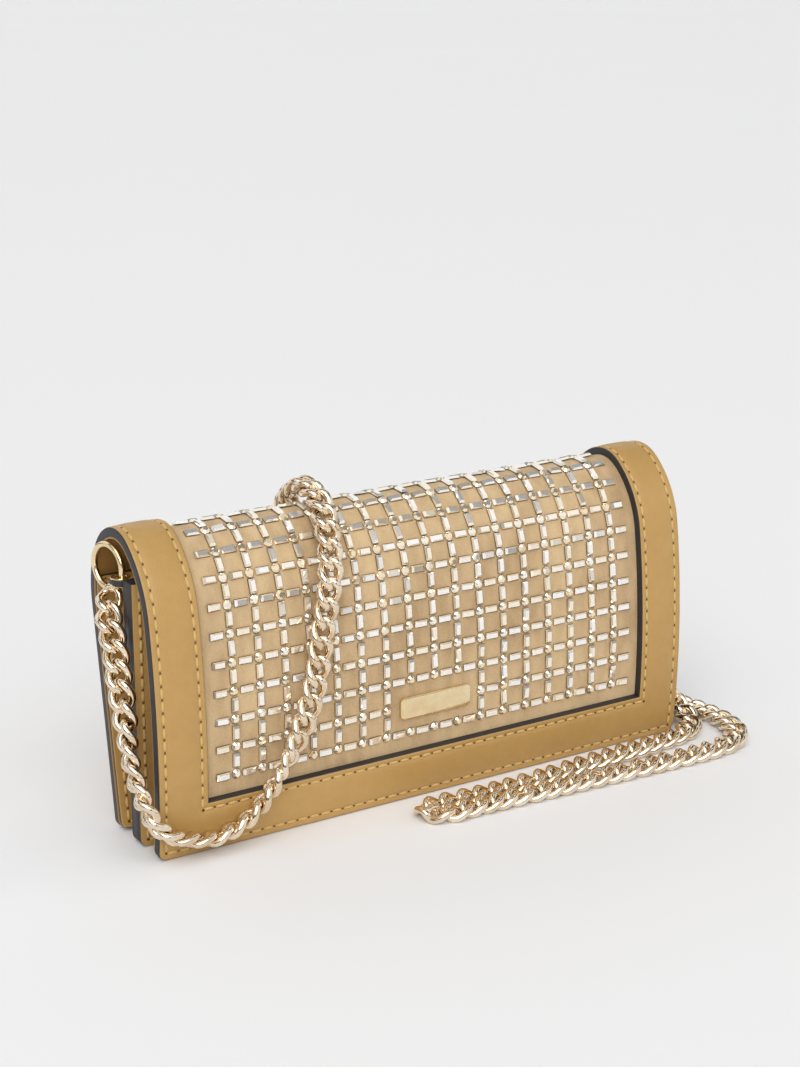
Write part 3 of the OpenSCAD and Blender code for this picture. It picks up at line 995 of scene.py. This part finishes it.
def makeBlock():
    half, high, corner = cover["halfWidth"], block["height"], block["corner"]
    outline = roundedBox(-half, 0, half, high, (corner, corner, 0, 0))
    rear = block["y"] + block["thick"]
    front = cutPlate("block_front_panel", [outline], block["panel"], block["bevel"], [leather, edgePaint],
                     upright(block["y"] + block["panel"] / 2))
    back = cutPlate("block_rear_panel", [outline], block["panel"], block["bevel"], [leather, edgePaint],
                    upright(rear - block["panel"] / 2))
    rim = block["rim"]
    inside = [(half - rim, high), (half - rim, rim), (-half + rim, rim), (-half + rim, high)]
    core = [(x, z) for x, z in outline if z < high] + [(half, high)] + inside + [(-half, high)]
    middle = cutPlate("block_rim_core", [core], block["thick"] - 2 * block["panel"], block["coreBevel"],
                      [edgePaint], upright(block["y"] + block["thick"] / 2))
    for piece, node, slotName in ((front, "block_front", "leather"), (back, "block_back", "leather"),
                                  (middle, "block_rim", "edge_paint")):
        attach(piece, "body")
        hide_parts(node)
    inset = seams["outer"]
    lines = [((-half + inset, inset), (half - inset, inset)),
             ((-half + inset, inset), (-half + inset, high - 1)),
             ((half - inset, inset), (half - inset, high - 1))]
    seats = (panelSeat(block["y"], -1), panelSeat(rear, 1))
    sewInner("block", [(start, end, seat) for seat in seats for start, end in lines])


cards = {
    "thick": 0.7, "gap": 0.1, "step": 0.8, "width": 90, "tops": (74, 62, 50), "low": 6, "middle": 1.5,
    "corners": (0.5, 0.5, 2, 2), "bevel": 0.2, "seam": 1.8,
}


def makeCards():
    rows = []
    inset = cards["seam"]
    for side in ("left", "right"):
        x0 = cards["middle"] if side == "right" else -cards["middle"] - cards["width"]
        x1 = x0 + cards["width"]
        for k, high in enumerate(cards["tops"], start=1):
            outline = roundedBox(x0, cards["low"], x1, high, cards["corners"], 3)
            y = block["y"] - k * cards["step"] + cards["gap"] + cards["thick"] / 2
            layer = cutPlate(f"card_slot_{side}_{k}", [outline], cards["thick"], cards["bevel"],
                             [leather, edgePaint], upright(y))
            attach(layer, "body")
            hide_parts(f"card_{side}_{k}")
            lowest = k == len(cards["tops"])
            bottom = cards["low"] + inset if lowest else cards["tops"][k]
            face = panelSeat(y - cards["thick"] / 2, -1)
            for x in (x0 + inset, x1 - inset):
                rows.append(((x, bottom), (x, high - 1), face))
            if lowest:
                rows.append(((x0 + inset, bottom), (x1 - inset, bottom), face))
    sewInner("cards", rows)


pocket = {"gap": 0.3, "thick": 1.6, "top": 0.6, "bevel": 0.3}


def makePocket():
    fold = (zoneStarts[4] + zoneStarts[5]) / 2
    first = fold + pocket["top"]
    depth = cover["lining"][1] + pocket["gap"]
    half = cover["halfWidth"]
    xs = spaced(-half, half, 10, [side * (half - d) for side in (-1, 1) for d in (0.15, 0.4)])
    ss = spaced(first, skinEnd, 2, [first + 0.15, first + 0.4, skinEnd - 0.4])

    def edge(x, s):
        near = min(half - abs(x), s - first)
        r = pocket["bevel"]
        return r - math.sqrt(max(0, r * r - (r - near) ** 2)) if near < r else 0.0

    panel = slab("pocket_leather", xs, ss, lambda x, s: True, lambda x, s: depth + edge(x, s),
                 lambda x, s: depth + pocket["thick"] - edge(x, s), [leather, edgePaint])
    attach(panel, "body")
    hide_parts("pocket_panel")

    def seat(place, heading):
        x, s = place
        ahead = heading[0] * np.array([1.0, 0, 0]) + heading[1] * uphill(s)
        point = onSkin(x, s, depth + pocket["thick"] - seams["sunk"])
        return s, (point, -outward(s), ahead / np.linalg.norm(ahead), 0)

    inset = seams["outer"]
    right, low, high = half - inset, first + inset, skinEnd - inset
    lines = [((x, first + 1), (x, high)) for x in (-right, right)]
    lines += [((-right, s), (right, s)) for s in (high, low)]
    sewInner("pocket", [(start, end, seat) for start, end in lines])


tabs = {
    "in": 93, "out": 102, "length": 7, "z": 82.5, "thick": 2.2, "corner": 2.5, "bevel": 0.4,
    "eyeX": 98.9, "eyeY": 1.9, "eye": 2.2,
}
eyelet = {"flange": 0.9, "lip": 0.25, "proud": 0.5, "bevel": 0.25}


def makeTabs():
    rear = block["y"] + block["thick"]
    for side, name in ((-1, "left"), (1, "right")):
        x0, x1 = sorted((side * tabs["in"], side * tabs["out"]))
        r = tabs["corner"]
        corners = (0, r, r, 0) if side > 0 else (r, 0, 0, r)
        outline = roundedBox(x0, rear, x1, rear + tabs["length"], corners)
        radii = (tabs["eye"], tabs["eye"] + eyelet["flange"], tabs["eye"] - eyelet["lip"])
        hole, rim, bore = [circleLine(side * tabs["eyeX"], tabs["eyeY"], radius) for radius in radii]
        level = lying(tabs["z"] + tabs["thick"] / 2)
        tab = cutPlate("ring_tab_" + name, [outline, hole], tabs["thick"], tabs["bevel"],
                       [leather, edgePaint], level)
        lined = cutPlate("eyelet_" + name, [rim, bore], tabs["thick"] + eyelet["proud"], eyelet["bevel"],
                         [gold], level)
        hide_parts("tab_" + name)
        for piece, slotName in ((tab, "leather"), (lined, "gold_metal")):
            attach(piece, "body")


print("inner block")
makeBlock()
makeCards()
makePocket()
makeTabs()

# Zip teeth
zipper = {"z": 76.8, "half": 84, "pitch": 2.0, "tooth": (1.1, 1.0, 1.5), "row": 0.85}


def makeTeeth():
    length, width, height = zipper["tooth"]
    size = {"Length": length, "Width": width, "Height": height}
    tree = repeatTree("zip_tooth", size, barShape)
    middleY = block["y"] + block["thick"] / 2
    rows = []
    for side in (-1, 1):
        first = -zipper["half"] + 1 + side * zipper["pitch"] / 4
        for x in np.arange(first, zipper["half"] - 1, zipper["pitch"]):
            place = np.array([x, middleY + side * zipper["row"], zipper["z"] + height / 2])
            rows.append((place, np.array([0, 0, 1.0]), np.array([1.0, 0, 0]), 0))
    teeth = grow("zip_tooth_rows", tree, size, gold, list(zip(*rows)), smooth=False)
    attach(teeth, "body")
    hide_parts("zip_teeth")


print("zip")
makeTeeth()

# Rings that take the chain
rings = {"centre": (100.2, 7.5, 86.8), "turn": 12, "radius": 6.9, "wire": 2.0, "around": 72, "across": 16}


def makeRing(side, name):
    cx, cy, cz = rings["centre"]
    turn = math.radians(rings["turn"])
    verts, faces = [], []
    around, across = rings["around"], rings["across"]
    for i in range(around):
        a = 2 * math.pi * i / around
        for j in range(across):
            b = 2 * math.pi * j / across
            reach = rings["radius"] + rings["wire"] / 2 * math.cos(b)
            out, back = rings["wire"] / 2 * math.sin(b), reach * math.cos(a)
            x = cx + out * math.cos(turn) + back * math.sin(turn)
            y = cy - out * math.sin(turn) + back * math.cos(turn)
            verts.append(np.array([side * x, y, cz + reach * math.sin(a)]) * mm)
            k, m = (i + 1) % around, (j + 1) % across
            quad = (i * across + j, k * across + j, k * across + m, i * across + m)
            faces.append(quad if side > 0 else quad[::-1])
    ring = meshObject("chain_ring_" + name, verts, faces, [gold])
    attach(ring, "ring_" + name + "_body")
    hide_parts("ring_" + name)


makeRing(-1, "left")
makeRing(1, "right")

# Plain metal plate on the velvet
plate = {"s": 31.5, "width": 27, "height": 7.5, "thick": 1.2, "corner": 1.6, "bevel": 0.4, "sunk": 0.05}


def makePlate():
    w, h, r = plate["width"] / 2, plate["height"] / 2, plate["corner"]
    outline = roundedBox(-w, -h, w, h, (r, r, r, r))
    s = plate["s"]

    def place(x, y, height):
        rise = plate["thick"] / 2 + height - plate["sunk"]
        return onSkin(x, s, cover["velvet"][0]) + uphill(s) * y + outward(s) * rise

    bar = cutPlate("plain_plate", [outline], plate["thick"], plate["bevel"], [gold], place)
    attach(bar, "flap")
    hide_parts("metal_bar")


makePlate()

# Parts of the frame that stay as they are get their own finish
carried = {
    "gusset_left": lining, "gusset_right": lining, "bottom_gusset": lining, "zip_tapes": tape,
    "zip_stops": gold, "zip_slider": gold, "zip_pull": gold, "snap_socket": gold, "snap_stud": gold,
}
for node, material in carried.items():
    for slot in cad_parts[node].material_slots:
        slot.material = material

# Studio
studio = {
    "floor": 90, "sky": 1.0, "sun": 1.2, "softness": 50, "key": 5, "keySize": (1.2, 0.8), "blotch": 1.7,
    "heights": ((0.0, 0.3), (0.5, 0.5), (0.6, 0.9), (1.0, 1.0)), "panels": ((0.40, 0.05), (0.47, 1.0)),
}


def makeFloor():
    r = studio["floor"] / 2
    verts = [(-r, -r, 0), (r, -r, 0), (r, r, 0), (-r, r, 0)]
    floor = meshObject("floor", verts, [(0, 1, 2, 3)], [floorFinish()])


def makeLamp(name, place, target, size, power):
    data = bpy.data.lights.new(name, "AREA")
    data.shape = "RECTANGLE"
    data.size, data.size_y = size
    data.energy = power
    obj = bpy.data.objects.new(name, data)
    obj.location = place
    obj.rotation_euler = (Vector(target) - Vector(place)).to_track_quat("-Z", "Y").to_euler()
    bpy.context.scene.collection.objects.link(obj)


def makeSun():                           # one broad light from high on the left, so that the floor is even
    data = bpy.data.lights.new("broad_light", "SUN")
    data.energy = studio["sun"]
    data.angle = math.radians(studio["softness"])
    obj = bpy.data.objects.new("broad_light", data)
    obj.rotation_euler = Vector((0.45, 0.75, -1.0)).to_track_quat("-Z", "Y").to_euler()
    bpy.context.scene.collection.objects.link(obj)


def makeSky():
    world = bpy.data.worlds.new("studio")
    world.use_nodes = True
    bpy.context.scene.world = world
    tree = Tree(world.node_tree)
    place = tree.node("ShaderNodeTexCoord", output="Generated")
    height = tree.node("ShaderNodeSeparateXYZ", inputs={"Vector": place}, output="Z")
    greys = {key: [(at, (grey, grey, grey)) for at, grey in studio[key]] for key in ("heights", "panels")}
    shade = tree.node("ShaderNodeValToRGB", {"stops": greys["heights"]}, {"Fac": height * 0.5 + 0.5})
    blotches = {"Vector": place, "Scale": studio["blotch"], "Detail": 1.0}
    cloud = tree.node("ShaderNodeTexNoise", inputs=blotches)
    panels = tree.node("ShaderNodeValToRGB", {"stops": greys["panels"]}, {"Fac": cloud})
    background = world.node_tree.nodes["Background"]
    tree.feed(background.inputs["Color"], tree.mix(panels, (0.02, 0.02, 0.02, 1), shade))
    background.inputs["Strength"].default_value = studio["sky"]


print("studio")
bpy.context.scene.view_settings.view_transform = "Standard"
makeFloor()
makeSky()
makeSun()
makeLamp("key", (-0.9, -1.5, 0.9), (0, 0, 0.05), studio["keySize"], studio["key"])
